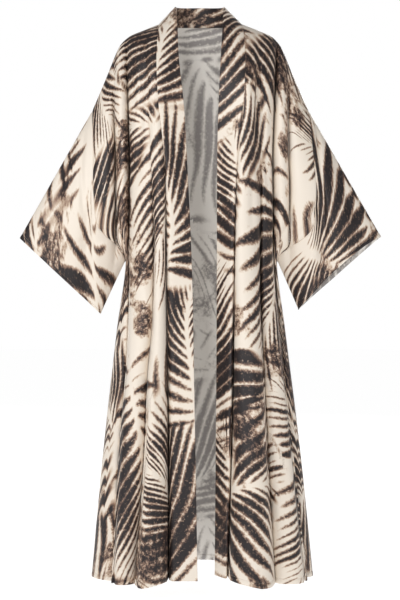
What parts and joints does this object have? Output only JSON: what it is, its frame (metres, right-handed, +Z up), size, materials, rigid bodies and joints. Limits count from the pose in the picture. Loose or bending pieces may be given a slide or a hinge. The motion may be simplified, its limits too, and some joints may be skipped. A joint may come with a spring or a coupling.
{
  "type": "kimono coat",
  "caption": "Long open kimono coat with wide drop-shoulder sleeves and a folded neckband from hem to hem, filled out as if worn.",
  "frame": {"origin": "in the middle of the neck opening, at the height where the cloth lies on the wearer's shoulders", "axes": "+X towards the wearer's left, which is the viewer's right; the front faces -Y; +Z up"},
  "size_m": [0.824, 0.3286, 1.2962],
  "materials": {
    "cloth": "light satin, ivory with a brown-black leaf print",
    "neckband": "the same printed satin, folded double"
  },
  "bodies": {
    "root": {"back": "cloth", "front_right": "cloth", "front_left": "cloth", "sleeve_right": "cloth", "sleeve_left": "cloth", "neckband": "neckband"}
  },
  "joints": []
}
